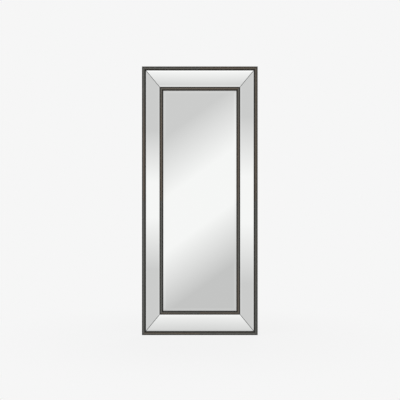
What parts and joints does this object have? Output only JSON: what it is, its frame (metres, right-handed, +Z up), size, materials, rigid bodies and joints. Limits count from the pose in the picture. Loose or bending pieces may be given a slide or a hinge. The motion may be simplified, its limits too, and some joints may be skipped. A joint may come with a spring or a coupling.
{
  "type": "beveled mirror",
  "caption": "Full-length wall mirror: a bevelled centre plate inside sloping bevelled mirror strips, mitred between an inner and an outer bronze bead moulding, with D-ring hangers behind.",
  "frame": {"origin": "middle of the wall plane that the bumpers' rear faces lie in", "axes": "+X right and +Z up as the viewer sees it, +Y into the wall; the mirror faces -Y"},
  "size_m": [0.711, 0.0533, 1.651],
  "materials": {
    "mirror_glass": "polished",
    "bronze_moulding": "satin",
    "core_board": "matte",
    "back_board": "matte",
    "backing_board": "matte",
    "mounting_tape": "matte",
    "tongue_wood": "matte",
    "black_rubber": "matte",
    "zinc_steel": "satin"
  },
  "bodies": {
    "mirror": {"back_panel": "back_board", "back_panel_screws": "zinc_steel", "backing_sheet": "backing_board", "centre_mirror": "mirror_glass", "core_rail_bottom": "core_board", "core_rail_top": "core_board", "core_stile_left": "core_board", "core_stile_right": "core_board", "corner_brace_lower_left": "zinc_steel", "corner_brace_lower_right": "zinc_steel", "corner_brace_screws": "zinc_steel", "corner_brace_upper_left": "zinc_steel", "corner_brace_upper_right": "zinc_steel", "corner_tongues": "tongue_wood", "hanger_screws": "zinc_steel", "hanger_strap_rail_bottom": "zinc_steel", "hanger_strap_rail_top": "zinc_steel", "hanger_strap_stile_left": "zinc_steel", "hanger_strap_stile_right": "zinc_steel", "inner_moulding_bottom": "bronze_moulding", "inner_moulding_left": "bronze_moulding", "inner_moulding_right": "bronze_moulding", "inner_moulding_top": "bronze_moulding", "mirror_strip_bottom": "mirror_glass", "mirror_strip_left": "mirror_glass", "mirror_strip_right": "mirror_glass", "mirror_strip_top": "mirror_glass", "mounting_tape_bottom": "mounting_tape", "mounting_tape_left": "mounting_tape", "mounting_tape_right": "mounting_tape", "mounting_tape_top": "mounting_tape", "outer_moulding_bottom": "bronze_moulding", "outer_moulding_left": "bronze_moulding", "outer_moulding_right": "bronze_moulding", "outer_moulding_top": "bronze_moulding", "setting_blocks": "black_rubber", "wall_bumper_lower_left": "black_rubber", "wall_bumper_lower_right": "black_rubber", "wall_bumper_upper_left": "black_rubber", "wall_bumper_upper_right": "black_rubber"},
    "ring_rail_top": {"hanger_ring_rail_top": "zinc_steel"},
    "ring_rail_bottom": {"hanger_ring_rail_bottom": "zinc_steel"},
    "ring_stile_left": {"hanger_ring_stile_left": "zinc_steel"},
    "ring_stile_right": {"hanger_ring_stile_right": "zinc_steel"}
  },
  "joints": [
    {"name": "ring_rail_top_swing", "type": "hinge", "parent": "mirror", "child": "ring_rail_top", "pos_m": [0.2055, -0.0033, 0.7505], "axis": [0, 0, -1], "range_deg": [0, 176.5]},
    {"name": "ring_rail_bottom_swing", "type": "hinge", "parent": "mirror", "child": "ring_rail_bottom", "pos_m": [0.2055, -0.0033, -0.7505], "axis": [0, 0, -1], "range_deg": [0, 176.5]},
    {"name": "ring_stile_left_swing", "type": "hinge", "parent": "mirror", "child": "ring_stile_left", "pos_m": [-0.3005, -0.0033, 0.4255], "axis": [1, 0, 0], "range_deg": [0, 176.5]},
    {"name": "ring_stile_right_swing", "type": "hinge", "parent": "mirror", "child": "ring_stile_right", "pos_m": [0.3005, -0.0033, 0.4255], "axis": [1, 0, 0], "range_deg": [0, 176.5]}
  ]
}
